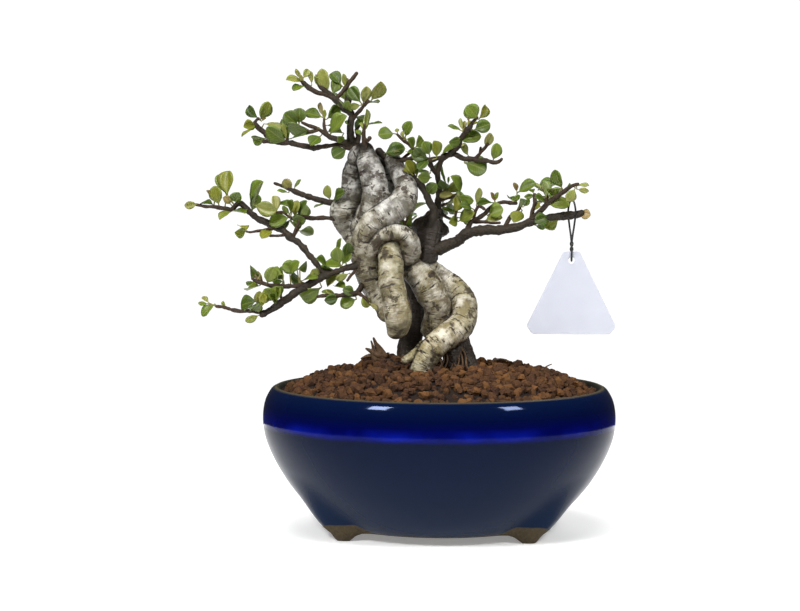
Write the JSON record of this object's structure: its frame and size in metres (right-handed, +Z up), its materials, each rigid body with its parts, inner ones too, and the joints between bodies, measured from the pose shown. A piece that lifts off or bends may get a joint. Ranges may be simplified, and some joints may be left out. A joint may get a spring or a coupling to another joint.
{
  "type": "cotoneaster bonsai",
  "caption": "Small bonsai tree with an intertwined trunk and leafy branches, in an oval glazed pot on four short feet.",
  "frame": {"origin": "middle of the whole object's box, on the surface that the pot's feet stand on; the pot's own axis is 24 mm towards +X from it", "axes": "+Z up, front of the tree towards -Y, +X to the viewer's right, where the tag hangs"},
  "size_m": [0.2527, 0.161, 0.2674],
  "materials": {
    "glaze": "deep blue glossy glaze over brown clay",
    "plastic_net": "matte black moulded net",
    "soil": "rough brown clay grains",
    "bark": "pale smooth bark with short dark marks",
    "leaf": "satin green leaves on dark brown twigs",
    "tag_card": "smooth white plastic card",
    "black_wire": "black satin soft wire"
  },
  "bodies": {
    "root": {"pot": "glaze", "drain_mesh_left": "plastic_net", "drain_mesh_right": "plastic_net", "soil": "soil", "trunk": "bark", "spray_top_left": "leaf", "spray_leader": "leaf", "spray_front_leader": "leaf", "spray_left_high": "leaf", "spray_left_knob": "leaf", "spray_left_mid": "leaf", "spray_left_low": "leaf", "spray_right_low": "leaf", "spray_right_high": "leaf", "spray_right_front": "leaf", "spray_crown": "leaf", "spray_back_left": "leaf", "spray_back_right": "leaf", "tag": "tag_card", "tag_wire": "black_wire"}
  },
  "joints": []
}
